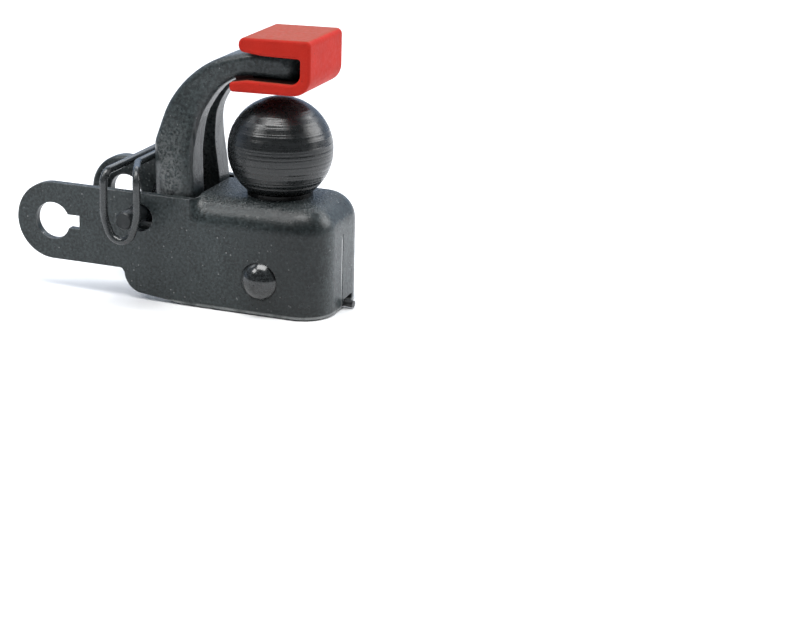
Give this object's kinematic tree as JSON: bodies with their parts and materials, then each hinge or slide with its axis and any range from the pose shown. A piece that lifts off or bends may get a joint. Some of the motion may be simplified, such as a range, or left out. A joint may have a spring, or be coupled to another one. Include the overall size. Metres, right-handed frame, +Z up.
{
  "type": "bike trailer hitch",
  "caption": "Ball hitch for a bike trailer: pressed housing with a slotted axle tongue, tow ball, spring-loaded capped claw, and a lock pin with a wire bail.",
  "frame": {"origin": "on the ground plane under the middle of the whole hitch, in the housing's middle plane", "axes": "+X from the axle tongue towards the tow ball, +Y away from the tongue's wall, +Z up from the lower rim"},
  "size_m": [0.108, 0.0616, 0.0861],
  "materials": {
    "black_paint": "satin, fine-grained coat",
    "black_gloss": "gloss",
    "black_steel": "blackened, turned",
    "zinc_steel": "zinc plated",
    "wire_steel": "dark, oiled",
    "red_plastic": "satin"
  },
  "bodies": {
    "housing": {"housing": "black_paint", "ball_stud": "black_steel", "ball_washer": "zinc_steel", "ball_nut": "zinc_steel", "pivot_rivet": "black_gloss", "spring_sleeve": "zinc_steel", "torsion_spring": "wire_steel"},
    "claw": {"claw": "black_paint", "claw_cap": "red_plastic"},
    "lock_pin": {"lock_pin": "wire_steel"},
    "bail": {"pin_bail": "wire_steel"}
  },
  "joints": [
    {"name": "claw_swing", "type": "hinge", "parent": "housing", "child": "claw", "pos_m": [0.0298, 0, 0.011], "axis": [0, -1, 0], "range_deg": [0, 2.5], "stiffness_Nm_per_rad": 0.4, "springref_deg": -44.98, "deforming": ["torsion_spring"]},
    {"name": "lock_pin_slide", "type": "slide", "parent": "housing", "child": "lock_pin", "axis": [0, 1, 0], "range_m": [0, 0.003]},
    {"name": "bail_swing", "type": "hinge", "parent": "lock_pin", "child": "bail", "pos_m": [-0.0112, 0.0242, 0.028], "axis": [-1, 0, 0], "range_deg": [0, 170]}
  ]
}
